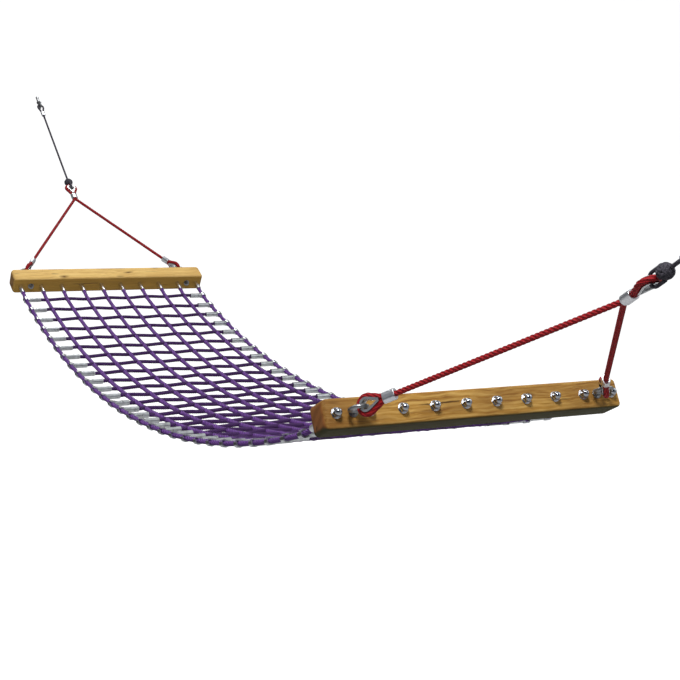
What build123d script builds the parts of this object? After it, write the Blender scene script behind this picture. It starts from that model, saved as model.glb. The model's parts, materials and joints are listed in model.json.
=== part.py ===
from build123d import *
import os
from math import asin, atan2, cos, degrees, hypot, pi, radians, sin, tan

# Playground net hammock, hanging at rest.  Millimetres, +Z up.
# X runs along the two timber beams, Y from the near beam to the far beam.
# The origin is in the middle of the near anchor bolt's shank, which a post or frame holds.

# ---- driving dimensions -------------------------------------------------------------
rope_count = 10              # lengthwise ropes
rope_pitch = 100.0           # between lengthwise ropes
rope_d = 16.0
cross_count = 28             # cross ropes
cross_d = 15.0
cross_end_margin = 120.0     # beam face to the first cross rope, along the net
beam_length = 970.0
beam_side = 84.0
beam_edge_r = 9.0
beam_distance = 3200.0       # centre to centre
beam_tilt = 28.0             # bolt axis above the horizontal, degrees
net_end_slope = 18.5         # of the sagging net, degrees
lead_straight = 75.0         # rope that leaves the beam square, from its face
lead_bend_r = 450.0

stud_d = 16.0                # M16 stud of a swaged rope terminal
sleeve_d = 22.0
sleeve_length = 58.0
sleeve_bite = 34.0           # rope held inside the sleeve
washer_t = 2.5
dome_flats = 24.0

eye_x = 400.0                # eye bolts, either side of the middle
eye_shank_d = 12.0
eye_ring_r = 24.0            # ring centreline
eye_bar_r = 5.5
eye_stand = 76.0             # beam centre to ring centre

bridle_d = 16.0
bridle_pitch = 32.5          # bridle plane above the horizontal, degrees
bridle_height = 622.0        # ring centres to the apex, in the bridle plane
thimble_t = 2.7
low_inner_r = 13.0           # lower thimble
low_centre = 26.82            # ring centre to the lower thimble's arc centre
low_mouth = 76.0             # ring centre to the lower ferrule
top_inner_r = 15.0           # top thimble
top_centre = 94.0            # apex to the top thimble's arc centre
ferrule_length = 36.0
ferrule_wide = 31.0
ferrule_thick = 23.0

hanger_d = 11.0              # dark suspension rope
hanger_loop_d = 10.0
hanger_loop_r = 18.0
knot_r = 22.0
knot_at = 152.0              # apex to the knot's centre
near_loop_bar = 96.0         # apex to the near knot loop's bar
far_loop_bar = 91.6          # more clearance at the far end, where the linkage is opened
near_hanger = 150.0          # knot centre to the anchor ring's near bar
far_hanger = 720.0
far_hanger_pitch = 35.0      # degrees
hanger_eye_r = 16.0          # rope centreline round the anchor ring
anchor_ring_r = 20.0
anchor_bar_r = 5.0
anchor_shank_d = 16.0
anchor_shank = 50.0          # plain length, from a small neck beyond the collar
anchor_collar_r = 13.0
anchor_collar = 9.0          # ring's far bar to the collar's outer face
anchor_neck = 1.0


# ---- places on the hammock ----------------------------------------------------------
def step(point, distance, angle):
    """Move a (y, z) point by a distance at an angle above the +Y direction."""
    a = radians(angle)
    return (point[0] + distance * cos(a), point[1] + distance * sin(a))


near_out = 180 - bridle_pitch
anchor_bar_to_mount = 2 * anchor_ring_r + anchor_collar + anchor_neck + anchor_shank / 2
near_anchor_bar = step((0, 0), -anchor_bar_to_mount, near_out)
near_knot_at = step(near_anchor_bar, -near_hanger, near_out)
near_apex = step(near_knot_at, -knot_at, near_out)
near_eye = step(near_apex, -bridle_height, near_out)
near_beam_at = step(near_eye, -eye_stand, 180 - beam_tilt)
far_beam_at = (near_beam_at[0] + beam_distance, near_beam_at[1])
far_eye = step(far_beam_at, eye_stand, beam_tilt)
far_apex = step(far_eye, bridle_height, bridle_pitch)
far_knot_at = step(far_apex, knot_at, bridle_pitch)
far_anchor_bar = step(far_knot_at, far_hanger, far_hanger_pitch)

# Frames whose local Z points outward and up, away from the net, and whose local X is +X.
near_beam_frame = Plane(origin=(0, *near_beam_at), x_dir=(1, 0, 0),
                        z_dir=(0, -cos(radians(beam_tilt)), sin(radians(beam_tilt))))
far_beam_frame = Plane(origin=(0, *far_beam_at), x_dir=(1, 0, 0),
                       z_dir=(0, cos(radians(beam_tilt)), sin(radians(beam_tilt))))
near_bridle_frame = Plane(origin=(0, *near_eye), x_dir=(1, 0, 0),
                          z_dir=(0, -cos(radians(bridle_pitch)), sin(radians(bridle_pitch))))
far_bridle_frame = Plane(origin=(0, *far_eye), x_dir=(1, 0, 0),
                         z_dir=(0, cos(radians(bridle_pitch)), sin(radians(bridle_pitch))))
far_hanger_frame = Plane(origin=(0, *far_knot_at), x_dir=(1, 0, 0),
                         z_dir=(0, cos(radians(far_hanger_pitch)), sin(radians(far_hanger_pitch))))


# ---- the net's side curve: straight, bend, long arc, bend, straight --------------------
face_y = beam_side / 2 * cos(radians(beam_tilt))
face_z = -beam_side / 2 * sin(radians(beam_tilt))
lead_end = step((face_y, face_z), lead_straight, -beam_tilt)
bend_dy = lead_bend_r * (sin(radians(beam_tilt)) - sin(radians(net_end_slope)))
bend_dz = -lead_bend_r * (cos(radians(net_end_slope)) - cos(radians(beam_tilt)))
arc_start = (lead_end[0] + bend_dy, lead_end[1] + bend_dz)
net_r = (beam_distance / 2 - arc_start[0]) / sin(radians(net_end_slope))
bend_len = lead_bend_r * radians(beam_tilt - net_end_slope)
arc_len = 2 * net_r * radians(net_end_slope)
net_length = 2 * lead_straight + 2 * bend_len + arc_len


def net_point(s):
    """The (y, z, slope) at a distance s along the net from the near beam's face."""
    if s > net_length / 2:
        y, z, slope = net_point(net_length - s)
        return (2 * near_beam_at[0] + beam_distance - y, z, -slope)
    if s <= lead_straight:
        y, z = step((face_y, face_z), s, -beam_tilt)
        slope = -beam_tilt
    elif s <= lead_straight + bend_len:
        slope = -beam_tilt + degrees((s - lead_straight) / lead_bend_r)
        y = lead_end[0] + lead_bend_r * (sin(radians(slope)) + sin(radians(beam_tilt)))
        z = lead_end[1] - lead_bend_r * (cos(radians(slope)) - cos(radians(beam_tilt)))
    else:
        slope = -net_end_slope + degrees((s - lead_straight - bend_len) / net_r)
        y = arc_start[0] + net_r * (sin(radians(slope)) + sin(radians(net_end_slope)))
        z = arc_start[1] - net_r * (cos(radians(slope)) - cos(radians(net_end_slope)))
    return (near_beam_at[0] + y, near_beam_at[1] + z, slope)


rope_xs = [rope_pitch * (i - (rope_count - 1) / 2) for i in range(rope_count)]
edge_x = rope_xs[-1]
cross_step = (net_length - 2 * cross_end_margin) / (cross_count - 1)
cross_places = [net_point(cross_end_margin + cross_step * i) for i in range(cross_count)]

os.makedirs("parts", exist_ok=True)


def keep(builder, name):
    builder.part.label = name
    export_step(builder.part, f"parts/{name}.step")


# ---- timber beams ----------------------------------------------------------------------
def make_beam(frame):
    with BuildPart(frame) as beam:
        Box(beam_length, beam_side, beam_side)
        fillet(beam.edges().filter_by(Axis.X), beam_edge_r)
        chamfer(beam.faces().filter_by(Axis.X).edges(), 6)
        with Locations(*[(x, 0, 0) for x in rope_xs]):
            Hole(stud_d / 2 + 0.5, beam_side)
        with Locations((-eye_x, 0, 0), (eye_x, 0, 0)):
            Hole(eye_shank_d / 2 + 0.5, beam_side)
    return beam


near_beam = make_beam(near_beam_frame)
keep(near_beam, "near_beam")
far_beam = make_beam(far_beam_frame)
keep(far_beam, "far_beam")


# ---- lengthwise ropes --------------------------------------------------------------------
bite_start = sleeve_length - sleeve_bite
rope_stops = [bite_start, lead_straight, lead_straight + bend_len]
rope_stops += [net_length - s for s in reversed(rope_stops)]
rope_marks = [net_point(s) for s in rope_stops]
with BuildPart() as net_rope:
    with BuildLine(Plane.YZ) as net_route:
        Line(rope_marks[0][:2], rope_marks[1][:2])
        TangentArc(rope_marks[1][:2], rope_marks[2][:2], tangent=net_route.line % 1)
        TangentArc(rope_marks[2][:2], rope_marks[3][:2], tangent=net_route.line % 1)
        TangentArc(rope_marks[3][:2], rope_marks[4][:2], tangent=net_route.line % 1)
        Line(rope_marks[4][:2], rope_marks[5][:2])
    with BuildSketch(Plane(origin=net_route.line @ 0, z_dir=net_route.line % 0)):
        Circle(rope_d / 2)
    sweep()

for index, x in enumerate(rope_xs):
    with BuildPart() as long_rope:
        with Locations((x, 0, 0)):
            add(net_rope.part)
    keep(long_rope, f"long_rope_{index + 1:02d}")
print(f"lengthwise rope, beam face to beam face: {net_length:.0f} mm")


# ---- cross ropes, pushed through the lay of every lengthwise rope ----------------------------
cross_reach = edge_x - 16.0
groups = {"far": range(19, 28), "middle": range(9, 19), "near": range(0, 9)}
for group, members in groups.items():
    with BuildPart() as cross_ropes:
        for i in members:
            y, z, slope = cross_places[i]
            with Locations(Plane(origin=(0, y, z), x_dir=(0, 1, 0), z_dir=(1, 0, 0))):
                Cylinder(cross_d / 2, 2 * cross_reach)
    keep(cross_ropes, f"cross_ropes_{group}")


# ---- clamps that hook each cross rope's end round the edge rope -----------------------------
# Local X points out of the net, local Y runs along the edge rope.
with BuildPart() as edge_clamp:
    with Locations(Location((-40, 0, 0), (0, 90, 0))):
        Cylinder(11, 58)
    with Locations(Location((0, 0, 0), (90, 0, 0))):
        Cylinder(13, 22)
    with Locations(Location((-8, 0, 0))):
        Box(16, 18, 20)
    with Locations(Location((0, 0, 0), (90, 0, 0))):
        Cylinder(rope_d / 2 + 0.3, 40, mode=Mode.SUBTRACT)
    with Locations(Location((-45, 0, 0), (0, 90, 0))):
        Cylinder(cross_d / 2 + 0.2, 58, mode=Mode.SUBTRACT)
    with Locations(Location((9, 0, 9), (0, -45, 0))):
        Box(12, 40, 7, mode=Mode.SUBTRACT)

for side, sign in (("left", -1), ("right", 1)):
    with BuildPart() as edge_clamps:
        for y, z, slope in cross_places:
            a = radians(slope)
            up = (0, -sin(a), cos(a))
            with Locations(Plane(origin=(sign * edge_x, y, z), x_dir=(sign, 0, 0), z_dir=up)):
                add(edge_clamp.part)
    keep(edge_clamps, f"{side}_edge_clamps")


# ---- what each beam carries ----------------------------------------------------------------
half = beam_side / 2


def make_terminals(frame):
    """Swaged sleeves on the rope ends, each with a stud that goes through the beam."""
    with BuildPart(frame) as terminals:
        with Locations(*[(x, 0, -half - 0.2) for x in rope_xs]):
            Cylinder(sleeve_d / 2, sleeve_length - 0.2, align=(Align.CENTER, Align.CENTER, Align.MAX))
        with Locations(*[(x, 0, -half - bite_start) for x in rope_xs]):
            Cylinder(rope_d / 2 + 0.1, sleeve_bite + 5, mode=Mode.SUBTRACT,
                     align=(Align.CENTER, Align.CENTER, Align.MAX))
        with Locations(*[(x, 0, -half - 1) for x in rope_xs]):
            Cylinder(stud_d / 2, beam_side + 17, align=(Align.CENTER, Align.CENTER, Align.MIN))
    return terminals


def make_washers(frame):
    with BuildPart(frame) as washers:
        with BuildSketch(frame.offset(half)):
            with Locations(*[(x, 0) for x in rope_xs]):
                Circle(15)
                Circle(stud_d / 2 + 0.3, mode=Mode.SUBTRACT)
        extrude(amount=washer_t)
    return washers


def make_dome_nuts(frame):
    with BuildPart(frame) as nuts:
        with BuildSketch(frame.offset(half + washer_t)):
            with Locations(*[(x, 0) for x in rope_xs]):
                RegularPolygon(dome_flats / 2, 6, major_radius=False)
        extrude(amount=9)
        with Locations(*[(x, 0, half + washer_t + 9) for x in rope_xs]):
            Cylinder(11, 3, align=(Align.CENTER, Align.CENTER, Align.MIN))
        with Locations(*[(x, 0, half + washer_t + 12) for x in rope_xs]):
            Sphere(10.9)
        with Locations(*[(x, 0, half + washer_t) for x in rope_xs]):
            Cylinder(stud_d / 2 + 0.2, 14, mode=Mode.SUBTRACT,
                     align=(Align.CENTER, Align.CENTER, Align.MIN))
    return nuts


def make_eye_bolt(frame, x):
    with BuildPart(frame) as bolt:
        with Locations(Location((x, 0, eye_stand), (90, 0, 0))):
            Torus(eye_ring_r, eye_bar_r)
        with Locations((x, 0, half + washer_t)):
            Cylinder(10, 5, align=(Align.CENTER, Align.CENTER, Align.MIN))
        with Locations((x, 0, eye_stand - eye_ring_r)):
            Cylinder(eye_shank_d / 2, eye_stand - eye_ring_r + half + washer_t + 16,
                     align=(Align.CENTER, Align.CENTER, Align.MAX))
    return bolt


def make_eye_hardware(frame):
    """A washer on each face of the beam and a hexagon nut on the net's side."""
    with BuildPart(frame) as hardware:
        for level in (half, -half - washer_t):
            with BuildSketch(frame.offset(level)):
                with Locations((-eye_x, 0), (eye_x, 0)):
                    Circle(14)
                    Circle(eye_shank_d / 2 + 0.3, mode=Mode.SUBTRACT)
            extrude(amount=washer_t)
        with BuildSketch(frame.offset(-half - washer_t - 10)):
            with Locations((-eye_x, 0), (eye_x, 0)):
                RegularPolygon(9.5, 6, major_radius=False)
                Circle(eye_shank_d / 2 + 0.1, mode=Mode.SUBTRACT)
        extrude(amount=10)
    return hardware


for end, frame in (("near", near_beam_frame), ("far", far_beam_frame)):
    keep(make_terminals(frame), f"{end}_rope_terminals")
    keep(make_washers(frame), f"{end}_dome_washers")
    keep(make_dome_nuts(frame), f"{end}_dome_nuts")
    keep(make_eye_bolt(frame, -eye_x), f"{end}_left_eye_bolt")
    keep(make_eye_bolt(frame, eye_x), f"{end}_right_eye_bolt")
    keep(make_eye_hardware(frame), f"{end}_eye_nuts")


# ---- loops of rope, thimbles and ferrules ----------------------------------------------------
# A loop lies in its frame's XZ plane: its tip is at z = 0 and its round end at z = centre.
def loop_angle(radius, centre):
    return asin(radius / centre)


def make_loop(radius, centre, tube_r):
    """A teardrop of rope, tip to tip, and the length of its centreline."""
    a = loop_angle(radius, centre)
    side_x = radius * cos(a)
    side_z = centre - radius * sin(a)
    with BuildPart() as loop:
        for side in (-1, 1):
            with BuildLine(Plane.XZ) as route:
                Line((0, 0), (side * side_x, side_z))
                TangentArc((side * side_x, side_z), (0, centre + radius), tangent=route.line % 1)
            with BuildSketch(Plane(origin=(0, 0, 0), z_dir=(side * side_x, 0, side_z))):
                Circle(tube_r)
            sweep()
    length = 2 * hypot(side_x, side_z) + radius * (pi + 2 * a)
    return loop.part, length


def make_thimble(inner_r, rope_angle, rope_r):
    """A teardrop channel round the origin, open outward, with its tip towards -Z."""
    band_r = inner_r + thimble_t
    lip_r = band_r + 4.0

    def teardrop(radius):
        tip = (0, -radius / sin(rope_angle))
        touch = (radius * cos(rope_angle), -radius * sin(rope_angle))
        with BuildSketch() as shape:
            with BuildLine():
                Line(tip, touch)
                ThreePointArc(touch, (0, radius), (-touch[0], touch[1]))
                Line((-touch[0], touch[1]), tip)
            make_face()
        return shape.sketch

    with BuildPart() as thimble:
        with BuildSketch(Plane.XZ):
            add(teardrop(lip_r))
        extrude(amount=rope_r + 2.1, both=True)
        with BuildSketch(Plane.XZ):
            add(teardrop(lip_r + 5))
            add(teardrop(band_r), mode=Mode.SUBTRACT)
        extrude(amount=rope_r + 0.5, both=True, mode=Mode.SUBTRACT)
        with BuildSketch(Plane.XZ):
            add(teardrop(inner_r))
        extrude(amount=20, both=True, mode=Mode.SUBTRACT)
        with Locations((0, 0, -band_r / sin(rope_angle))):
            Box(60, 40, 40, mode=Mode.SUBTRACT, align=(Align.CENTER, Align.CENTER, Align.MAX))
    return thimble.part


def make_ferrule(rope_shape, wide, thick):
    """A pressed oval sleeve along Z from z = 0, hollowed by the rope inside it."""
    with BuildPart() as ferrule:
        with BuildSketch():
            SlotOverall(wide, thick)
        extrude(amount=ferrule_length)
        fillet(ferrule.edges().group_by(Axis.Z)[0] + ferrule.edges().group_by(Axis.Z)[-1], 1.5)
    return ferrule.part - rope_shape


low_rope_r = low_inner_r + thimble_t + 0.3 + bridle_d / 2
low_tip = low_mouth + 10
low_angle = loop_angle(low_rope_r, low_tip - low_centre)
top_rope_r = top_inner_r + thimble_t + 0.3 + bridle_d / 2
top_tip = ferrule_length - 9
top_angle = loop_angle(top_rope_r, top_centre - top_tip)
low_loop, low_loop_len = make_loop(low_rope_r, low_tip - low_centre, bridle_d / 2)
top_loop, top_loop_len = make_loop(top_rope_r, top_centre - top_tip, bridle_d / 2)
low_thimble = make_thimble(low_inner_r, low_angle, bridle_d / 2)
top_thimble = make_thimble(top_inner_r, top_angle, bridle_d / 2)
leg_full = hypot(eye_x, bridle_height)
leg_len = leg_full - low_tip
bridle_total = 2 * leg_len + 2 * low_loop_len + top_loop_len + 2 * top_tip
print(f"one bridle rope: {bridle_total:.0f} mm")


def leg_frame(sign):
    """Origin at the ring centre, Z along the leg, X square to the bridle plane."""
    return Plane(origin=(sign * eye_x, 0, 0), x_dir=(0, 1, 0),
                 z_dir=(-sign * eye_x, 0, bridle_height))


def in_leg(sign, distance):
    return leg_frame(sign) * Location((0, 0, distance))


apex_frame = Plane(origin=(0, 0, bridle_height), x_dir=(1, 0, 0), z_dir=(0, 0, 1))
turned = Location((0, 0, 0), (180, 0, 0))

with BuildPart() as bridle_rope:
    for sign in (-1, 1):
        with Locations(in_leg(sign, low_tip - 3)):
            Cylinder(bridle_d / 2, leg_len + 6, align=(Align.CENTER, Align.CENTER, Align.MIN))
        with Locations(in_leg(sign, low_tip) * turned):
            add(low_loop)
    with Locations((0, 0, bridle_height - 4)):
        Cylinder(bridle_d / 2 - 0.4, top_tip + 8, align=(Align.CENTER, Align.CENTER, Align.MIN))
    with Locations(apex_frame * Location((0, 0, top_tip))):
        add(top_loop)

with BuildPart() as apex_ferrule:
    with Locations(apex_frame):
        add(make_ferrule(apex_frame.location.inverse() * bridle_rope.part, ferrule_wide + 2, ferrule_thick + 3))

lower_ferrules = []
lower_thimbles = []
for sign in (-1, 1):
    low_rope = in_leg(sign, low_mouth).inverse() * bridle_rope.part
    with BuildPart() as lower_ferrule:
        with Locations(in_leg(sign, low_mouth)):
            add(make_ferrule(low_rope, ferrule_wide, ferrule_thick))
    lower_ferrules.append(lower_ferrule.part)
    with BuildPart() as lower_thimble:
        with Locations(in_leg(sign, low_centre) * turned):
            add(low_thimble)
    lower_thimbles.append(lower_thimble.part)

with BuildPart() as upper_thimble:
    with Locations(apex_frame * Location((0, 0, top_centre))):
        add(top_thimble)


def in_bridle(frame, shapes, name):
    with BuildPart() as placed:
        with Locations(frame):
            for shape in shapes:
                add(shape)
    keep(placed, name)


for end, frame in (("near", near_bridle_frame), ("far", far_bridle_frame)):
    in_bridle(frame, [bridle_rope.part], f"{end}_bridle_rope")
    in_bridle(frame, [apex_ferrule.part], f"{end}_apex_ferrule")
    in_bridle(frame, [upper_thimble.part], f"{end}_top_thimble")
    in_bridle(frame, lower_ferrules, f"{end}_lower_ferrules")
    in_bridle(frame, lower_thimbles, f"{end}_lower_thimbles")


# ---- suspension ropes with their knots, and the anchor bolts that hold them ----------------------
def make_knot(loop_bar):
    """A ball knot with the short loop, square to the thimble, that passes through it."""
    centre = loop_bar + hanger_loop_r
    with BuildPart() as knot:
        with Locations((0, 0, knot_at)):
            Sphere(knot_r)
        with BuildLine(Plane.YZ) as route:
            Line((-hanger_loop_r, knot_at - 6), (-hanger_loop_r, centre))
            TangentArc((-hanger_loop_r, centre), (hanger_loop_r, centre), tangent=(0, -1))
            Line((hanger_loop_r, centre), (hanger_loop_r, knot_at - 6))
        with BuildSketch(Plane(origin=(0, -hanger_loop_r, knot_at - 6), z_dir=(0, 0, -1))):
            Circle(hanger_loop_d / 2)
        sweep()
    return knot.part


def make_hanger(length):
    """Rope from the knot's skin to its eye round the anchor ring; the knot's centre is the origin."""
    tip = length + 12 - hanger_eye_r - 62
    eye, eye_len = make_loop(hanger_eye_r, 62, hanger_d / 2)
    with BuildPart() as hanger:
        with Locations((0, 0, knot_r + 0.2)):
            Cylinder(hanger_d / 2, tip + 3 - knot_r, align=(Align.CENTER, Align.CENTER, Align.MIN))
        with Locations((0, 0, tip)):
            add(eye)
    return hanger.part, tip, tip + eye_len - knot_r


def make_anchor():
    """Ring bolt; its ring's near bar is the origin and its shank points along Z."""
    with BuildPart() as anchor:
        with Locations(Location((0, 0, anchor_ring_r), (0, 90, 0))):
            Torus(anchor_ring_r, anchor_bar_r)
        with Locations((0, 0, 2 * anchor_ring_r + 2)):
            Cylinder(anchor_collar_r, anchor_collar - 2, align=(Align.CENTER, Align.CENTER, Align.MIN))
        with Locations((0, 0, 2 * anchor_ring_r + anchor_collar)):
            Cylinder(anchor_shank_d / 2 - 0.6, anchor_neck, align=(Align.CENTER, Align.CENTER, Align.MIN))
        with Locations((0, 0, 2 * anchor_ring_r + anchor_collar + anchor_neck)):
            Cylinder(anchor_shank_d / 2, anchor_shank, align=(Align.CENTER, Align.CENTER, Align.MIN))
    return anchor.part


anchor_bolt = make_anchor()
near_hanger_frame = near_bridle_frame * Location((0, 0, bridle_height + knot_at))
hangers = (
    ("near", near_bridle_frame, near_hanger_frame, near_loop_bar, near_hanger),
    ("far", far_bridle_frame, far_hanger_frame.location, far_loop_bar, far_hanger),
)
for end, bridle_frame, hanger_frame, loop_bar, length in hangers:
    rope_shape, tip, rope_len = make_hanger(length)
    with BuildPart() as knot:
        with Locations(bridle_frame * Location((0, 0, bridle_height))):
            add(make_knot(loop_bar))
    keep(knot, f"{end}_knot")
    with BuildPart() as suspension_rope:
        with Locations(hanger_frame):
            add(rope_shape)
    keep(suspension_rope, f"{end}_suspension_rope")
    with BuildPart() as eye_ferrule:
        with Locations(hanger_frame * Location((0, 0, tip - 22))):
            add(make_ferrule(Location((0, 0, 22 - tip)) * rope_shape, 22, 17))
    keep(eye_ferrule, f"{end}_eye_ferrule")
    with BuildPart() as anchor:
        with Locations(hanger_frame * Location((0, 0, length))):
            add(anchor_bolt)
    keep(anchor, f"{end}_anchor")
    print(f"{end} suspension rope: {rope_len:.0f} mm, eye radius {hanger_eye_r:.0f} mm")

print("near eye", near_eye, "far eye", far_eye)
print("near apex", near_apex, "far apex", far_apex)
print("far anchor bar", far_anchor_bar, "near beam", near_beam_at)
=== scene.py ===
"""Playground net hammock: timber beams, laid rope net, rope bridles, knots and steel fittings."""
import json
import math
import random

import bpy
from mathutils import Matrix, Vector


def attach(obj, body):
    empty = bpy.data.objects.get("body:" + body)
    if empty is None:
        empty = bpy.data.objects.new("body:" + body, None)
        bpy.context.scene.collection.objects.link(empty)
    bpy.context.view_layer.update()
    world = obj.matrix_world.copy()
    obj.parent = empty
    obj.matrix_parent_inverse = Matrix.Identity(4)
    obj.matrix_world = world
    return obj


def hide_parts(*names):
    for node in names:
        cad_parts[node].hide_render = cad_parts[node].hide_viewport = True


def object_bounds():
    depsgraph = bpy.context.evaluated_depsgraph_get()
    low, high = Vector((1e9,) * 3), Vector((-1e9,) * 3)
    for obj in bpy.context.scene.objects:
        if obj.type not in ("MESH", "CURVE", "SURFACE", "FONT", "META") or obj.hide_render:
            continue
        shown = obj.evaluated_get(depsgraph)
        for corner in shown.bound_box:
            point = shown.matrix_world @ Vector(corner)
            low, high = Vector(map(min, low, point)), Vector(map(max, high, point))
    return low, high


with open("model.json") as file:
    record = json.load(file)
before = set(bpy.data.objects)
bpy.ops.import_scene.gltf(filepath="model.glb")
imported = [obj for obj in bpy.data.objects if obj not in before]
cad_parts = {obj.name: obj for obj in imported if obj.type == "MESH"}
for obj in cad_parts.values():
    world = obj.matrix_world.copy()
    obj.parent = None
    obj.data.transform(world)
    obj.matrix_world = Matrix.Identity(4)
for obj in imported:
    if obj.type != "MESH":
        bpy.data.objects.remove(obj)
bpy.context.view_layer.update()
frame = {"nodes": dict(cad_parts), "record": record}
scene = bpy.context.scene
joints = {joint["name"]: joint for joint in frame["record"]["behaviour"]["joints"]}

# ---- driving dimensions, metres and degrees, as in the part -------------------------------
ROPE_PITCH = 0.100
ROPE_COUNT = 10
ROPE_R = 0.0088          # over the strands' crowns; the part's plain tube is their mean
CROSS_COUNT = 28
CROSS_R = 0.0081
CROSS_MARGIN = 0.120
BEAM_SIDE = 0.084
BEAM_LENGTH = 0.970
BEAM_DISTANCE = 3.200
BEAM_TILT = math.radians(28.0)
NET_SLOPE = math.radians(18.5)
LEAD = 0.075
LEAD_BEND_R = 0.450
BITE_START = 0.024
EYE_X = 0.400
EYE_STAND = 0.076
BRIDLE_R = 0.008
BRIDLE_PITCH = math.radians(32.5)
BRIDLE_HEIGHT = 0.622
LOW_LOOP_R = 0.024
LOW_CENTRE = 0.02682
LOW_TIP = 0.086
TOP_LOOP_R = 0.026
TOP_CENTRE = 0.094
TOP_TIP = 0.027
KNOT_AT = 0.152
KNOT_R = 0.022
NEAR_LOOP_BAR = 0.0960
FAR_LOOP_BAR = 0.0916
KNOT_LOOP_R = 0.018
HANGER_R = 0.0055
HANGER_EYE_R = 0.016
HANGER_EYE_LENGTH = 0.062
NEAR_HANGER = 0.150
FAR_HANGER = 0.720
FAR_HANGER_PITCH = math.radians(35.0)
ROPE_LAY = 0.085         # length of one full turn of the strands
CROSS_LAY = 0.050
BRIDLE_LAY = 0.125
LEG_LAY = 0.050
DARK_ROPE_LAY = 0.030
CROSSING_SWELL = 0.20    # how much a lengthwise rope swells where a cross rope parts its strands
CROSSING_SPREAD = 0.010
EDGE_PULL = 0.003        # how far the clamps draw an edge rope inwards
BEAM_EDGE_R = 0.009
BEAM_END_R = 0.016
KNOT_TURN_R = 0.0050
KNOT_LOOP_ROPE_R = 0.0049
FLOOR_DROP = 0.95
FLOOR_HALF = 60.0
BACKDROP_AT = 9.0
BACKDROP_R = 5.0

# ---- places, from the record's joints -------------------------------------------------------
X = Vector((1, 0, 0))
near_eye = Vector(joints["near_beam_pivot"]["pos_m"])
far_eye = Vector(joints["far_bridle_pivot"]["pos_m"])
near_beam = near_eye + EYE_STAND * Vector((0, math.cos(BEAM_TILT), -math.sin(BEAM_TILT)))
far_beam = near_beam + Vector((0, BEAM_DISTANCE, 0))
near_out = Vector((0, -math.cos(BRIDLE_PITCH), math.sin(BRIDLE_PITCH)))
far_out = Vector((0, math.cos(BRIDLE_PITCH), math.sin(BRIDLE_PITCH)))
far_hanger_out = Vector((0, math.cos(FAR_HANGER_PITCH), math.sin(FAR_HANGER_PITCH)))
near_apex = near_eye + BRIDLE_HEIGHT * near_out
far_apex = far_eye + BRIDLE_HEIGHT * far_out
near_knot = near_apex + KNOT_AT * near_out
far_knot = far_apex + KNOT_AT * far_out

# ---- camera -----------------------------------------------------------------------------------
CAMERA_AT = Vector((-1.9962, -1.9622, 0.1371))
CAMERA_YAW = math.radians(27.33)
CAMERA_PITCH = math.radians(-5.44)
CAMERA_ROLL = math.radians(1.93)
CAMERA_LENS = 67.5
CAMERA_SHIFT = (0.040, -0.111)
camera_data = bpy.data.cameras.new("camera")
camera = bpy.data.objects.new("camera", camera_data)
scene.collection.objects.link(camera)
scene.camera = camera
camera.location = CAMERA_AT
camera.rotation_mode = "QUATERNION"
heading = Matrix.Rotation(-CAMERA_YAW, 3, "Z")
pitching = Matrix.Rotation(math.pi / 2 + CAMERA_PITCH, 3, "X")
rolling = Matrix.Rotation(CAMERA_ROLL, 3, "Z")
camera.rotation_quaternion = (heading @ pitching @ rolling).to_quaternion()
camera_data.sensor_width = 36.0
camera_data.lens = CAMERA_LENS
camera_data.shift_x, camera_data.shift_y = CAMERA_SHIFT
camera_data.clip_end = 60.0


# ---- material helpers -----------------------------------------------------------------------
def new_material(name):
    material = bpy.data.materials.new(name)
    material.use_nodes = True
    tree = material.node_tree
    shader = next(node for node in tree.nodes if node.type == "BSDF_PRINCIPLED")
    return material, tree, shader


def node(tree, kind, **values):
    made = tree.nodes.new(kind)
    for key, value in values.items():
        if key in made.inputs:
            made.inputs[key].default_value = value
        else:
            setattr(made, key, value)
    return made


def ramp(tree, source, stops):
    made = tree.nodes.new("ShaderNodeValToRGB")
    elements = made.color_ramp.elements
    while len(elements) < len(stops):
        elements.new(0.5)
    for element, (place, colour) in zip(elements, stops):
        element.position = place
        element.color = (*colour, 1.0)
    tree.links.new(source, made.inputs["Fac"])
    return made


def mix(tree, factor, first, second, blend="MIX"):
    made = tree.nodes.new("ShaderNodeMix")
    made.data_type = "RGBA"
    made.blend_type = blend
    for socket, value in ((made.inputs[0], factor), (made.inputs[6], first), (made.inputs[7], second)):
        if isinstance(value, (int, float)):
            socket.default_value = value
        elif isinstance(value, tuple):
            socket.default_value = (*value, 1.0)
        else:
            tree.links.new(value, socket)
    return made.outputs[2]


def scaled(tree, source, scale, angle=(0, 0, 0), place=(0, 0, 0)):
    made = tree.nodes.new("ShaderNodeMapping")
    made.inputs["Scale"].default_value = scale
    made.inputs["Rotation"].default_value = angle
    made.inputs["Location"].default_value = place
    tree.links.new(source, made.inputs["Vector"])
    return made.outputs["Vector"]


def noise(tree, vector, scale, detail=4.0, roughness=0.55):
    made = node(tree, "ShaderNodeTexNoise", Scale=scale, Detail=detail, Roughness=roughness)
    tree.links.new(vector, made.inputs["Vector"])
    return made.outputs["Fac"]


def add_bump(tree, shader, height, strength, distance):
    made = node(tree, "ShaderNodeBump", Strength=strength, Distance=distance)
    tree.links.new(height, made.inputs["Height"])
    tree.links.new(made.outputs["Normal"], shader.inputs["Normal"])


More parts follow.
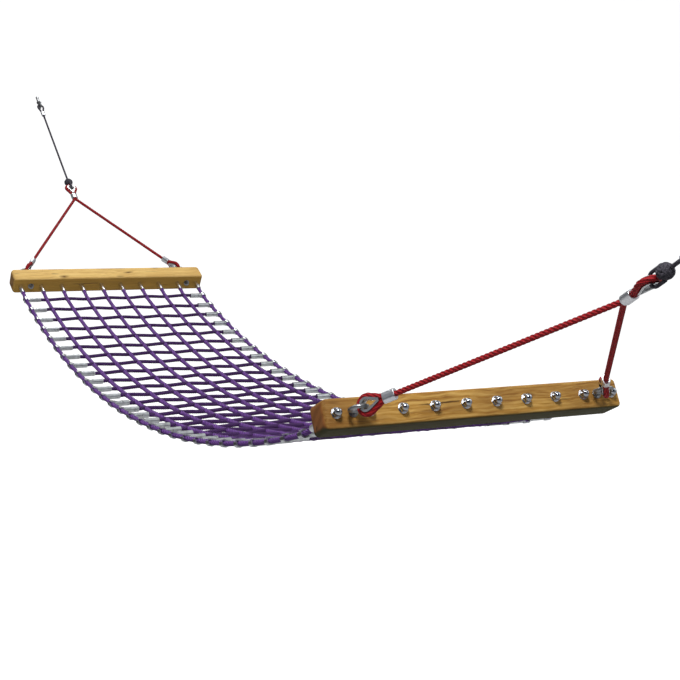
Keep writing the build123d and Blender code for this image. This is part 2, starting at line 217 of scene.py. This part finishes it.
# ---- rope: UV x runs along the rope in metres, UV y counts strands round it ---------------------
def rope_material(name, dark, middle, light, painted_glint=0.0):
    material, tree, shader = new_material(name)
    uv = tree.nodes.new("ShaderNodeUVMap").outputs["UV"]
    parts = tree.nodes.new("ShaderNodeSeparateXYZ")
    tree.links.new(uv, parts.inputs["Vector"])
    yarn = node(tree, "ShaderNodeTexWave", Scale=1.0, Distortion=1.2, Detail=2.0)
    yarn.bands_direction = "DIAGONAL"
    tree.links.new(scaled(tree, uv, (170.0, 2.4, 1.0)), yarn.inputs["Vector"])
    fibres = noise(tree, scaled(tree, uv, (300.0, 14.0, 1.0)), 1.0, 3.0, 0.6)
    patches = noise(tree, scaled(tree, uv, (9.0, 0.35, 1.0)), 1.0, 3.0, 0.6)
    strand = node(tree, "ShaderNodeMath", operation="PINGPONG")
    strand.inputs[1].default_value = 0.5
    tree.links.new(parts.outputs["Y"], strand.inputs[0])
    # Painted shade: the grooves between the strands are painted the dark colour, the strand crowns the yarn
    # tone.
    groove_shade = ramp(tree, strand.outputs[0], [(0.05, (0, 0, 0)), (0.27, (0.72, 0.72, 0.72)), (0.5, (1, 1, 1))])
    tone = mix(tree, yarn.outputs["Fac"], middle, light)
    tone = mix(tree, patches, tone, middle)
    speckle = ramp(tree, fibres, [(0.35, (0.55, 0.55, 0.55)), (0.7, (1.15, 1.15, 1.15))])
    tone = mix(tree, 0.7, tone, speckle.outputs["Color"], "MULTIPLY")
    # Painted highlight: near-white glints laid on the brightest yarn bands.
    if painted_glint:
        glint_marks = ramp(tree, yarn.outputs["Fac"], [(0.62, (0, 0, 0)), (0.8, (1, 1, 1))])
        factor = node(tree, "ShaderNodeMath", operation="MULTIPLY")
        factor.inputs[1].default_value = painted_glint
        tree.links.new(glint_marks.outputs["Color"], factor.inputs[0])
        tone = mix(tree, factor.outputs[0], tone, tuple(min(1.0, 2.2 * c + 0.05) for c in light))
    colour = mix(tree, groove_shade.outputs["Color"], dark, tone)
    tree.links.new(colour, shader.inputs["Base Color"])
    shader.inputs["Roughness"].default_value = 0.62
    shader.inputs["Specular IOR Level"].default_value = 0.22
    shader.inputs["Sheen Weight"].default_value = 0.05
    shader.inputs["Sheen Roughness"].default_value = 0.4
    height = mix(tree, 0.5, yarn.outputs["Fac"], fibres)
    add_bump(tree, shader, height, 0.55, 0.0007)
    return material


def metal_material(name, colour, rough, grain, dents=0.0, dirt=0.15):
    material, tree, shader = new_material(name)
    coords = tree.nodes.new("ShaderNodeTexCoord").outputs["Object"]
    fine = noise(tree, coords, 900.0, 3.0)
    broad = noise(tree, coords, 60.0, 4.0)
    tone = ramp(tree, broad, [(0.3, tuple(c * (1 - dirt) for c in colour)), (0.7, colour)])
    tree.links.new(tone.outputs["Color"], shader.inputs["Base Color"])
    shader.inputs["Metallic"].default_value = 1.0
    level = node(tree, "ShaderNodeMapRange")
    level.inputs["To Min"].default_value = max(0.03, rough - grain)
    level.inputs["To Max"].default_value = rough + grain
    tree.links.new(broad, level.inputs["Value"])
    tree.links.new(level.outputs["Result"], shader.inputs["Roughness"])
    height = mix(tree, 0.5, fine, broad)
    add_bump(tree, shader, height, 0.12 + dents, 0.0006)
    return material


def clamp_material(name, colour):
    """Cast aluminium whose flat outer ends are painted near black and not metallic: painted shade for the
    inside of a bore.
    """
    material = metal_material(name, colour, 0.30, 0.10, dents=0.25, dirt=0.30)
    tree = material.node_tree
    shader = next(n for n in tree.nodes if n.type == "BSDF_PRINCIPLED")
    facing = tree.nodes.new("ShaderNodeSeparateXYZ")
    tree.links.new(tree.nodes.new("ShaderNodeNewGeometry").outputs["True Normal"], facing.inputs["Vector"])
    sideways = node(tree, "ShaderNodeMath", operation="ABSOLUTE")
    tree.links.new(facing.outputs["X"], sideways.inputs[0])
    # Painted shade: faces turned along X are painted near black, as a bore's dark inside.
    bore_shade = ramp(tree, sideways.outputs[0], [(0.90, (0, 0, 0)), (0.96, (1, 1, 1))]).outputs["Color"]
    plain = shader.inputs["Base Color"].links[0].from_socket
    tree.links.new(mix(tree, bore_shade, plain, (0.015, 0.013, 0.017)), shader.inputs["Base Color"])
    tree.links.new(mix(tree, bore_shade, (1.0, 1.0, 1.0), (0.0, 0.0, 0.0)), shader.inputs["Metallic"])
    return material


def timber_material(name, centre, tilt, light, middle, dark, end_tone, knots, underside_moss_and_shade, cover, stain):
    """Grain along X; knots, weather checks, darker end grain and a darker tint on faces turned downwards,
    which is painted shade together with a moss tint.
    """
    material, tree, shader = new_material(name)
    coords = tree.nodes.new("ShaderNodeTexCoord").outputs["Object"]
    local = node(tree, "ShaderNodeVectorMath", operation="SUBTRACT")
    local.inputs[1].default_value = centre
    tree.links.new(coords, local.inputs[0])
    turned = node(tree, "ShaderNodeVectorRotate", rotation_type="X_AXIS")
    turned.inputs["Angle"].default_value = tilt
    tree.links.new(local.outputs[0], turned.inputs["Vector"])
    place = turned.outputs["Vector"]
    warp = node(tree, "ShaderNodeTexNoise", Scale=1.0, Detail=3.0)
    tree.links.new(scaled(tree, place, (3.2, 9.0, 9.0)), warp.inputs["Vector"])
    shifted = node(tree, "ShaderNodeVectorMath", operation="MULTIPLY_ADD")
    shifted.inputs[1].default_value = (0.0, 0.05, 0.05)
    tree.links.new(warp.outputs["Color"], shifted.inputs[0])
    tree.links.new(place, shifted.inputs[2])
    rings = node(tree, "ShaderNodeTexWave", Scale=11.0, Distortion=2.2, Detail=3.0)
    rings.wave_type = "RINGS"
    rings.rings_direction = "X"
    rings.inputs["Detail Scale"].default_value = 1.4
    heartwood = scaled(tree, shifted.outputs[0], (1, 1, 1), place=(0.0, 0.013, 0.031))
    tree.links.new(heartwood, rings.inputs["Vector"])
    streaks = noise(tree, scaled(tree, shifted.outputs[0], (4.0, 190.0, 190.0)), 1.0, 5.0, 0.6)
    patches = noise(tree, scaled(tree, place, (3.5, 12.0, 12.0)), 1.0, 4.0, 0.55)
    spots = node(tree, "ShaderNodeTexVoronoi", Scale=1.0, Randomness=1.0)
    tree.links.new(scaled(tree, shifted.outputs[0], (6.5, 15.0, 15.0)), spots.inputs["Vector"])
    tone = ramp(tree, rings.outputs["Fac"], [(0.1, middle), (0.55, light), (0.95, middle)]).outputs["Color"]
    streak_tone = ramp(tree, streaks, [(0.33, dark), (0.47, middle), (0.66, light)]).outputs["Color"]
    tone = mix(tree, 0.68, tone, streak_tone)
    patch_mask = ramp(tree, patches, [(0.45, (0, 0, 0)), (0.75, (1, 1, 1))]).outputs["Color"]
    weaker = mix(tree, 0.62, (0, 0, 0), patch_mask)
    tone = mix(tree, weaker, tone, dark)
    along = node(tree, "ShaderNodeSeparateXYZ")
    tree.links.new(shifted.outputs[0], along.inputs["Vector"])
    stained = node(tree, "ShaderNodeMapRange")
    stained.inputs["From Min"].default_value = -0.26
    stained.inputs["From Max"].default_value = -0.46
    stained.inputs["To Max"].default_value = stain
    tree.links.new(along.outputs["X"], stained.inputs["Value"])
    tone = mix(tree, stained.outputs["Result"], tone, dark)
    for inner, outer, share in ((0.05, 0.20, 0.55), (0.03, 0.07, 0.16)):
        spot = ramp(tree, spots.outputs["Distance"], [(inner, (knots, knots, knots)), (outer, (0, 0, 0))])
        tone = mix(tree, spot.outputs["Color"], tone, tuple(share * c for c in dark))
    facing = node(tree, "ShaderNodeSeparateXYZ")
    geometry = tree.nodes.new("ShaderNodeNewGeometry")
    tree.links.new(geometry.outputs["True Normal"], facing.inputs["Vector"])
    sideways = node(tree, "ShaderNodeMath", operation="ABSOLUTE")
    tree.links.new(facing.outputs["X"], sideways.inputs[0])
    ends = ramp(tree, sideways.outputs[0], [(0.75, (0, 0, 0)), (0.95, (1, 1, 1))]).outputs["Color"]
    end_rings = ramp(tree, rings.outputs["Fac"], [(0.2, tuple(0.6 * c for c in end_tone)), (0.8, end_tone)])
    end_colour = mix(tree, streaks, end_rings.outputs["Color"], tuple(0.75 * c for c in end_tone))
    tone = mix(tree, ends, tone, end_colour)
    # Faces turned downwards are painted the underside tone: painted shade, with a moss-green tint in the
    # near beam's colours.
    below = node(tree, "ShaderNodeMapRange")
    below.inputs["From Min"].default_value = 0.05
    below.inputs["From Max"].default_value = -0.45
    tree.links.new(facing.outputs["Z"], below.inputs["Value"])
    moss_and_shade = node(tree, "ShaderNodeMath", operation="MULTIPLY")
    moss_and_shade.inputs[1].default_value = cover
    tree.links.new(below.outputs["Result"], moss_and_shade.inputs[0])
    moss_and_shade_tone = mix(tree, streaks, tuple(0.6 * c for c in underside_moss_and_shade), tuple(1.3 * c for c in underside_moss_and_shade))
    tone = mix(tree, moss_and_shade.outputs[0], tone, moss_and_shade_tone)
    checks = noise(tree, scaled(tree, shifted.outputs[0], (1.6, 70.0, 70.0)), 1.0, 3.0, 0.5)
    crack = ramp(tree, checks, [(0.655, (0, 0, 0)), (0.70, (0.8, 0.8, 0.8))]).outputs["Color"]
    tone = mix(tree, crack, tone, tuple(0.22 * c for c in dark))
    tree.links.new(tone, shader.inputs["Base Color"])
    rough = node(tree, "ShaderNodeMapRange")
    rough.inputs["To Min"].default_value = 0.55
    rough.inputs["To Max"].default_value = 0.85
    tree.links.new(streaks, rough.inputs["Value"])
    tree.links.new(rough.outputs["Result"], shader.inputs["Roughness"])
    shader.inputs["Specular IOR Level"].default_value = 0.22
    height = mix(tree, 0.5, streaks, rings.outputs["Fac"])
    add_bump(tree, shader, height, 0.35, 0.0012)
    return material


# Each rope's first colour is painted shade for the grooves between its strands.
PURPLE = rope_material(
    "purple_rope", (0.009, 0.002, 0.024), (0.112, 0.020, 0.30), (0.33, 0.13, 0.66), painted_glint=0.45)
# The cross ropes are the same purple rope painted darker: painted shade on their sides.
SHADED_CROSS_PURPLE = rope_material(
    "purple_cross_rope", (0.007, 0.002, 0.014), (0.062, 0.013, 0.115), (0.17, 0.062, 0.29), painted_glint=0.2)
RED = rope_material("red_rope", (0.17, 0.003, 0.006), (0.44, 0.008, 0.014), (0.62, 0.030, 0.036))
GREY = rope_material(
    "grey_rope", (0.016, 0.014, 0.020), (0.085, 0.078, 0.100), (0.22, 0.205, 0.25), painted_glint=0.1)
ALUMINIUM = metal_material("aluminium", (0.86, 0.87, 0.90), 0.32, 0.10, dents=0.15)
CLAMP = clamp_material("edge_clamp", (0.80, 0.83, 0.84))
SWAGED = metal_material("stainless_steel", (0.80, 0.81, 0.84), 0.24, 0.08, dents=0.08)
CHROME = metal_material("chrome", (0.50, 0.53, 0.58), 0.12, 0.05)
WASHER = metal_material("bright_washer", (0.93, 0.93, 0.94), 0.28, 0.08)
ZINC = metal_material("galvanised_steel", (0.40, 0.41, 0.42), 0.34, 0.12, dents=0.15, dirt=0.35)
THIMBLE = metal_material("thimble_steel", (0.70, 0.71, 0.72), 0.20, 0.06, dents=0.05, dirt=0.2)
NEAR_TIMBER = timber_material(
    "near_timber", near_beam, BEAM_TILT, (0.64, 0.40, 0.115), (0.42, 0.215, 0.038), (0.145, 0.050, 0.009),
    (0.33, 0.120, 0.030), 1.0, (0.034, 0.038, 0.010), 0.95, 0.6)
# The far beam is the same timber painted much lighter: painted light from above on its upward faces.
SUNLIT_FAR_TIMBER = timber_material(
    "far_timber", far_beam, -BEAM_TILT, (0.88, 0.62, 0.23), (0.76, 0.49, 0.15), (0.50, 0.27, 0.070),
    (0.40, 0.21, 0.07), 1.0, (0.37, 0.20, 0.030), 0.9, 0.1)


# ---- ropes as meshes with real strands ------------------------------------------------------
def even_points(points, step):
    """The same line with evenly spaced points, and its length."""
    lengths = [0.0]
    for a, b in zip(points, points[1:]):
        lengths.append(lengths[-1] + (b - a).length)
    count = max(3, int(lengths[-1] / step) + 1)
    spaced, k = [], 0
    for i in range(count):
        want = lengths[-1] * i / (count - 1)
        while k < len(points) - 2 and lengths[k + 1] < want:
            k += 1
        share = (want - lengths[k]) / max(1e-9, lengths[k + 1] - lengths[k])
        spaced.append(points[k].lerp(points[k + 1], min(1.0, share)))
    return spaced, lengths[-1]


def strand_profile(radius, strands, per_strand):
    """Radii round a rope whose strands lie side by side, one lobe each."""
    strand_r = radius / (1 + 1 / math.sin(math.pi / strands)) * 1.12
    middle_r = radius - strand_r
    profile = []
    for j in range(per_strand):
        angle = (j / per_strand - 0.5) * 2 * math.pi / strands
        inside = strand_r ** 2 - (middle_r * math.sin(angle)) ** 2
        reach = middle_r * math.cos(angle) + math.sqrt(max(0.0, inside))
        profile.append(max(reach, 0.74 * radius))
    return profile


def add_rope(buffers, points, radius, strands=6, lay=0.060, step=0.006, swell=None, turn=0.0, per_strand=6):
    """One laid rope along points; swell(distance) scales its radius."""
    vertices, faces, uvs = buffers
    spaced, length = even_points(points, step)
    profile = strand_profile(radius, strands, per_strand)
    around = strands * per_strand
    ahead = (spaced[1] - spaced[0]).normalized()
    side = ahead.cross(Vector((0.3, 0.2, 1.0))).normalized()
    first = len(vertices)
    for i, point in enumerate(spaced):
        after = spaced[min(i + 1, len(spaced) - 1)]
        before = spaced[max(i - 1, 0)]
        direction = (after - before).normalized()
        side = (side - direction * side.dot(direction)).normalized()
        up = direction.cross(side)
        distance = length * i / (len(spaced) - 1)
        twist = turn + 2 * math.pi * distance / lay
        scale = swell(distance) if swell else 1.0
        for j in range(around):
            angle = twist + 2 * math.pi * j / around
            reach = profile[j % per_strand] * scale
            vertices.append(point + reach * (math.cos(angle) * side + math.sin(angle) * up))
    for i in range(len(spaced) - 1):
        u0 = length * i / (len(spaced) - 1)
        u1 = length * (i + 1) / (len(spaced) - 1)
        for j in range(around):
            k = (j + 1) % around
            a = first + i * around
            b = a + around
            faces.append((a + j, b + j, b + k, a + k))
            v0, v1 = j / per_strand + 0.5, (j + 1) / per_strand + 0.5
            uvs.extend(((u0, v0), (u1, v0), (u1, v1), (u0, v1)))
    last = first + (len(spaced) - 1) * around
    for ring, flip in ((first, True), (last, False)):
        loop = [ring + j for j in range(around)]
        faces.append(tuple(reversed(loop)) if not flip else tuple(loop))
        uvs.extend([(0.0, 0.5)] * around)


def new_piece(name, buffers, material, body, *nodes):
    vertices, faces, uvs = buffers
    mesh = bpy.data.meshes.new(name)
    mesh.from_pydata([tuple(v) for v in vertices], [], faces)
    layer = mesh.uv_layers.new(name="UVMap")
    layer.data.foreach_set("uv", [c for pair in uvs for c in pair])
    mesh.shade_smooth()
    mesh.materials.append(material)
    piece = bpy.data.objects.new(name, mesh)
    scene.collection.objects.link(piece)
    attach(piece, body)
    if nodes:
        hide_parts(*nodes)
    return piece


def new_buffers():
    return [], [], []


# ---- suspension ropes: straight from the knot, once round the anchor ring ------------------------
def hanger_route(start, out, length):
    """Control points, knot first: a straight stretch, then the eye, back to its tip."""
    tip = length + 0.012 - HANGER_EYE_R - HANGER_EYE_LENGTH
    centre = start + (tip + HANGER_EYE_LENGTH) * out
    angle = math.asin(HANGER_EYE_R / HANGER_EYE_LENGTH)
    corner = HANGER_EYE_R * math.tan((math.pi / 2 + angle) / 2)
    side = HANGER_EYE_R * X
    touch = HANGER_EYE_R * (math.cos(angle) * X - math.sin(angle) * out)
    runs = max(2, int((tip - KNOT_R) / 0.065))
    route = [start + (KNOT_R + (tip - KNOT_R) * i / runs) * out for i in range(runs + 1)]
    route.append(route[-1].lerp(centre + touch, 0.6))
    route += [centre + 1.02 * side, centre + 1.3 * side * 0.62 + 1.12 * HANGER_EYE_R * out]
    route += [centre - 1.3 * side * 0.62 + 1.12 * HANGER_EYE_R * out, centre - 1.02 * side]
    touch.x = -touch.x
    route.append((start + tip * out).lerp(centre + touch, 0.6))
    route.append(start + tip * out)
    return route


def spline_points(name, route):
    """Points along the route's own NURBS spline."""
    curve = bpy.data.curves.new(name, "CURVE")
    curve.dimensions = "3D"
    spline = curve.splines.new("NURBS")
    spline.points.add(len(route) - 1)
    for control, point in zip(spline.points, route):
        control.co = (*point, 1.0)
    spline.order_u = 3
    spline.use_endpoint_u = True
    spline.resolution_u = 12
    holder = bpy.data.objects.new(name, curve)
    mesh = bpy.data.meshes.new_from_object(holder)
    points = [Vector(v.co) for v in mesh.vertices]
    bpy.data.objects.remove(holder)
    return points


def hanger_rope(end, start, out, length):
    points = spline_points(f"{end}_hanger_route", hanger_route(start, out, length))
    buffers = new_buffers()
    add_rope(buffers, points, HANGER_R, strands=8, lay=DARK_ROPE_LAY, step=0.003, per_strand=4)
    piece = new_piece(f"{end}_suspension", buffers, GREY, "hangers", f"{end}_suspension_rope")


hanger_rope("near", near_knot, near_out, NEAR_HANGER)
hanger_rope("far", far_knot, far_hanger_out, FAR_HANGER)


# ---- the net's side curve ---------------------------------------------------------------------
def net_curve():
    """net_point(s) gives the place on the net's middle line, s from the near beam's face."""
    face_y = BEAM_SIDE / 2 * math.cos(BEAM_TILT)
    face_z = -BEAM_SIDE / 2 * math.sin(BEAM_TILT)
    lead_y = face_y + LEAD * math.cos(BEAM_TILT)
    lead_z = face_z - LEAD * math.sin(BEAM_TILT)
    arc_y = lead_y + LEAD_BEND_R * (math.sin(BEAM_TILT) - math.sin(NET_SLOPE))
    arc_z = lead_z - LEAD_BEND_R * (math.cos(NET_SLOPE) - math.cos(BEAM_TILT))
    radius = (BEAM_DISTANCE / 2 - arc_y) / math.sin(NET_SLOPE)
    bend = LEAD_BEND_R * (BEAM_TILT - NET_SLOPE)
    total = 2 * LEAD + 2 * bend + 2 * radius * NET_SLOPE

    def point(s):
        if s > total / 2:
            y, z = point(total - s)
            return BEAM_DISTANCE - y, z
        if s <= LEAD:
            return face_y + s * math.cos(BEAM_TILT), face_z - s * math.sin(BEAM_TILT)
        if s <= LEAD + bend:
            slope = -BEAM_TILT + (s - LEAD) / LEAD_BEND_R
            return (lead_y + LEAD_BEND_R * (math.sin(slope) + math.sin(BEAM_TILT)),
                    lead_z - LEAD_BEND_R * (math.cos(slope) - math.cos(BEAM_TILT)))
        slope = -NET_SLOPE + (s - LEAD - bend) / radius
        return (arc_y + radius * (math.sin(slope) + math.sin(NET_SLOPE)),
                arc_z - radius * (math.cos(slope) - math.cos(NET_SLOPE)))

    return point, total


net_point, net_length = net_curve()


def on_net(x, s, lift=0.0):
    y, z = net_point(s)
    return near_beam + Vector((x, y, z + lift))


rope_xs = [ROPE_PITCH * (i - (ROPE_COUNT - 1) / 2) for i in range(ROPE_COUNT)]
cross_step = (net_length - 2 * CROSS_MARGIN) / (CROSS_COUNT - 1)
cross_at = [CROSS_MARGIN + cross_step * i for i in range(CROSS_COUNT)]
chance = random.Random(7)


def near_crossing(s):
    return min(abs(s - c) for c in cross_at)


# Lengthwise ropes swell where a cross rope parts their strands, and the edge ropes are
# drawn a little towards the clamps.
for index, x in enumerate(rope_xs):
    edge = index in (0, ROPE_COUNT - 1)
    phase = chance.uniform(0, 2 * math.pi)
    drift = chance.uniform(0.0005, 0.0015)

    def swell(distance):
        gap = near_crossing(BITE_START + distance)
        return 1.0 + CROSSING_SWELL * math.exp(-((gap / CROSSING_SPREAD) ** 2))

    count = 400
    line = []
    for i in range(count + 1):
        s = BITE_START + (net_length - 2 * BITE_START) * i / count
        ease = min(1.0, (s - BITE_START) / 0.15, (net_length - BITE_START - s) / 0.15)
        sway = drift * ease * math.sin(4.1 * s + phase)
        if edge:
            pull = -EDGE_PULL * math.cos(math.pi * min(1.0, near_crossing(s) / (cross_step / 2)))
            sway -= math.copysign(pull * ease, x)
        line.append(on_net(x + sway, s))
    buffers = new_buffers()
    add_rope(buffers, line, ROPE_R, lay=ROPE_LAY, swell=None if edge else swell, turn=phase)
    new_piece(f"lengthwise_{index + 1:02d}", buffers, PURPLE, "net", f"long_rope_{index + 1:02d}")

groups = {"near": range(0, 9), "middle": range(9, 19), "far": range(19, 28)}
reach = rope_xs[-1] - 0.016
for group, members in groups.items():
    buffers = new_buffers()
    for i in members:
        phase = chance.uniform(0, 2 * math.pi)
        sense = 1 if i % 2 else -1
        line = []
        for k in range(121):
            x = -reach + 2 * reach * k / 120
            ease = min(1.0, (reach - abs(x)) / 0.08)
            weave = 0.0022 * sense * math.sin(math.pi * (x - rope_xs[0]) / ROPE_PITCH + math.pi / 2)
            wander = 0.0020 * math.sin(7.0 * x + phase)
            line.append(on_net(x, cross_at[i] + ease * wander, ease * weave))
        add_rope(buffers, line, CROSS_R, lay=CROSS_LAY, turn=phase)
    new_piece(f"crosswise_{group}", buffers, SHADED_CROSS_PURPLE, "net", f"cross_ropes_{group}")


# ---- beams: square timber with rounded edges and rounder ends ---------------------------------------
def beam(end, centre, out_sign, finish):
    half = BEAM_SIDE / 2
    outward = Vector((0, out_sign * math.cos(BEAM_TILT), math.sin(BEAM_TILT)))
    upward = X.cross(outward) * out_sign
    stations = [(0.0, BEAM_END_R)]
    for i in range(8):
        a = math.radians(90 * (i + 1) / 8)
        stations.append((BEAM_END_R * (1 - math.cos(a)), BEAM_END_R * (1 - math.sin(a))))
    rings = [(-BEAM_LENGTH / 2 + d, inset) for d, inset in stations]
    rings += [(x, 0.0) for x in (-0.3, -0.1, 0.1, 0.3)]
    rings += [(BEAM_LENGTH / 2 - d, inset) for d, inset in reversed(stations)]
    outline = []
    for corner in range(4):
        for i in range(6):
            a = math.radians(90 * corner + 90 * i / 5)
            cx = (half - BEAM_EDGE_R) * (1 if corner in (0, 3) else -1)
            cy = (half - BEAM_EDGE_R) * (1 if corner in (0, 1) else -1)
            outline.append((cx + BEAM_EDGE_R * math.cos(a), cy + BEAM_EDGE_R * math.sin(a)))
    vertices, faces = [], []
    for x, inset in rings:
        scale = (half - inset) / half
        vertices += [centre + x * X + scale * (a * outward + b * upward) for a, b in outline]
    n = len(outline)
    for i in range(len(rings) - 1):
        for j in range(n):
            k = (j + 1) % n
            faces.append((i * n + j, i * n + k, (i + 1) * n + k, (i + 1) * n + j))
    faces.append(tuple(reversed(range(n))))
    faces.append(tuple((len(rings) - 1) * n + j for j in range(n)))
    mesh = bpy.data.meshes.new(f"{end}_timber")
    mesh.from_pydata([tuple(v) for v in vertices], [], faces)
    mesh.shade_smooth()
    mesh.materials.append(finish)
    piece = bpy.data.objects.new(f"{end}_timber", mesh)
    scene.collection.objects.link(piece)
    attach(piece, "net")
    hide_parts(f"{end}_beam")


beam("near", near_beam, -1, NEAR_TIMBER)
beam("far", far_beam, 1, SUNLIT_FAR_TIMBER)


# ---- bridles ----------------------------------------------------------------------------------
def teardrop_line(tip, along, across, centre, radius, steps=48):
    """From the tip round the loop and back, as points."""
    angle = math.asin(radius / centre)
    middle = tip + centre * along
    line = [tip]
    first = -angle
    last = math.pi + angle
    for i in range(steps + 1):
        a = first + (last - first) * i / steps
        line.append(middle + radius * (math.cos(a) * across + math.sin(a) * along))
    line.append(tip)
    return line


def bridle(end, eye, out):
    normal = X.cross(out).normalized()
    apex = eye + BRIDLE_HEIGHT * out
    buffers = new_buffers()
    for sign in (-1, 1):
        ring = eye + sign * EYE_X * X
        leg = (apex - ring).normalized()
        tip = ring + LOW_TIP * leg
        loop = teardrop_line(tip, -leg, normal, LOW_TIP - LOW_CENTRE, LOW_LOOP_R)
        add_rope(buffers, loop, BRIDLE_R, lay=BRIDLE_LAY, step=0.005)
        leg_line = [tip - 0.003 * leg, apex + 0.003 * leg]
        add_rope(buffers, leg_line, BRIDLE_R, strands=4, lay=LEG_LAY, step=0.004, turn=sign, per_strand=7)
    top_tip = apex + TOP_TIP * out
    top = teardrop_line(top_tip, out, X, TOP_CENTRE - TOP_TIP, TOP_LOOP_R)
    add_rope(buffers, top, BRIDLE_R, lay=BRIDLE_LAY, step=0.005)
    add_rope(buffers, [apex - 0.004 * out, top_tip + 0.004 * out], BRIDLE_R, lay=BRIDLE_LAY, step=0.004)
    new_piece(f"{end}_bridle_legs", buffers, RED, f"{end}_bridle", f"{end}_bridle_rope")


bridle("near", near_eye, near_out)
bridle("far", far_eye, far_out)


# ---- knots: turns of rope wound over each other into a ball, and the loop in the thimble ----------
def knot(end, apex, out, loop_bar):
    normal = X.cross(out).normalized()
    ball = apex + KNOT_AT * out
    buffers = new_buffers()
    axes = ((X, out, normal), (out, normal, X), (normal, X, out))
    for layer, (axis, first, second) in enumerate(axes):
        for turn in (-1, 0, 1):
            offset = 0.0092 * turn
            ring_r = math.sqrt((KNOT_R - 0.0048) ** 2 - offset ** 2)
            line = []
            for i in range(49):
                a = 2 * math.pi * i / 48
                lift = 1.0 + 0.055 * math.cos(2 * a + layer * math.pi)
                spoke = math.cos(a) * first + math.sin(a) * second
                line.append(ball + offset * axis + ring_r * lift * spoke)
            add_rope(buffers, line, KNOT_TURN_R, strands=8, lay=DARK_ROPE_LAY, step=0.003, per_strand=4)
    centre = apex + (loop_bar + KNOT_LOOP_R) * out
    line = [ball - 0.008 * out - KNOT_LOOP_R * normal]
    for i in range(25):
        a = math.pi + math.pi * i / 24
        line.append(centre + KNOT_LOOP_R * (math.cos(a) * normal + math.sin(a) * out))
    line.append(ball - 0.008 * out + KNOT_LOOP_R * normal)
    add_rope(buffers, line, KNOT_LOOP_ROPE_R, strands=8, lay=DARK_ROPE_LAY, step=0.003, per_strand=4)
    new_piece(f"{end}_knot_turns", buffers, GREY, "hangers", f"{end}_knot")


knot("near", near_apex, near_out, NEAR_LOOP_BAR)
knot("far", far_apex, far_out, FAR_LOOP_BAR)

# ---- finish on the CAD pieces that stay ------------------------------------------------------------
FINISHES = {
    "ferrule": ALUMINIUM,
    "edge_clamps": CLAMP,
    "rope_terminals": SWAGED,
    "dome_washers": WASHER,
    "dome_nuts": CHROME,
    "eye_bolt": ZINC,
    "eye_nuts": ZINC,
    "thimble": THIMBLE,
    "anchor": ZINC,
}
for name in frame["nodes"]:
    piece = bpy.data.objects.get(name)
    finish = next((m for key, m in FINISHES.items() if key in name), None)
    if piece is None or piece.type != "MESH" or finish is None:
        continue
    piece.data.materials.clear()
    piece.data.materials.append(finish)

# ---- floor, backdrop and light -----------------------------------------------------------------------
low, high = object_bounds()
middle = Vector(((low[0] + high[0]) / 2, (low[1] + high[1]) / 2, (low[2] + high[2]) / 2))
floor_z = low[2] - FLOOR_DROP
floor_mesh = bpy.data.meshes.new("floor")
floor_rows = [(-FLOOR_HALF, floor_z), (BACKDROP_AT, floor_z)]
for i in range(1, 11):
    bend = math.radians(9 * i)
    rise = BACKDROP_R * (1 - math.cos(bend))
    floor_rows.append((BACKDROP_AT + BACKDROP_R * math.sin(bend), floor_z + rise))
floor_rows.append((BACKDROP_AT + BACKDROP_R, floor_z + BACKDROP_AT + BACKDROP_R))
floor_vertices = [(x, y, z) for y, z in floor_rows for x in (-FLOOR_HALF, FLOOR_HALF)]
floor_faces = [(2 * i, 2 * i + 1, 2 * i + 3, 2 * i + 2) for i in range(len(floor_rows) - 1)]
floor_mesh.from_pydata(floor_vertices, [], floor_faces)
floor_mesh.shade_smooth()
floor = bpy.data.objects.new("floor", floor_mesh)
scene.collection.objects.link(floor)
# The floor looks white to the camera and bounces a mid grey.
floor_material, floor_tree, floor_shader = new_material("floor")
floor_shader.inputs["Base Color"].default_value = (0.50, 0.50, 0.50, 1.0)
floor_shader.inputs["Roughness"].default_value = 0.9
floor_shader.inputs["Emission Color"].default_value = (1.0, 1.0, 1.0, 1.0)
glow = node(floor_tree, "ShaderNodeMath", operation="MULTIPLY")
glow.inputs[1].default_value = 0.90
floor_tree.links.new(floor_tree.nodes.new("ShaderNodeLightPath").outputs["Is Camera Ray"], glow.inputs[0])
floor_tree.links.new(glow.outputs[0], floor_shader.inputs["Emission Strength"])
floor_mesh.materials.append(floor_material)


def area_light(name, place, size, power, aim):
    data = bpy.data.lights.new(name, "AREA")
    data.shape = "DISK"
    data.size = size
    data.energy = power
    light = bpy.data.objects.new(name, data)
    scene.collection.objects.link(light)
    light.location = place
    direction = (Vector(aim) - Vector(place)).normalized()
    light.rotation_mode = "QUATERNION"
    light.rotation_quaternion = direction.to_track_quat("-Z", "Y")


area_light("key", (-2.0, -1.2, 4.6), 1.6, 330.0, middle)
area_light("fill", (4.5, 0.5, 3.0), 3.5, 45.0, middle)
area_light("back", (0.5, 7.5, 4.5), 2.5, 110.0, middle)
# The room is white behind the object, and dimmer with a dark patch in reflections and light.
world = bpy.data.worlds.new("world")
scene.world = world
world.use_nodes = True
sky = world.node_tree
background = next(n for n in sky.nodes if n.type == "BACKGROUND")
direction = sky.nodes.new("ShaderNodeTexCoord").outputs["Generated"]
towards = node(sky, "ShaderNodeVectorMath", operation="DOT_PRODUCT")
towards.inputs[1].default_value = (-0.57, -0.80, 0.15)
sky.links.new(direction, towards.inputs[0])
room_tones = [(0.0, (0.72, 0.73, 0.75)), (0.45, (0.66, 0.67, 0.70)), (0.66, (0.035, 0.045, 0.07))]
room = ramp(sky, towards.outputs["Value"], room_tones)
seen = sky.nodes.new("ShaderNodeLightPath").outputs["Is Camera Ray"]
sky.links.new(mix(sky, seen, room.outputs["Color"], (1.0, 1.0, 1.0)), background.inputs["Color"])
background.inputs["Strength"].default_value = 0.62
scene.view_settings.view_transform = "Standard"
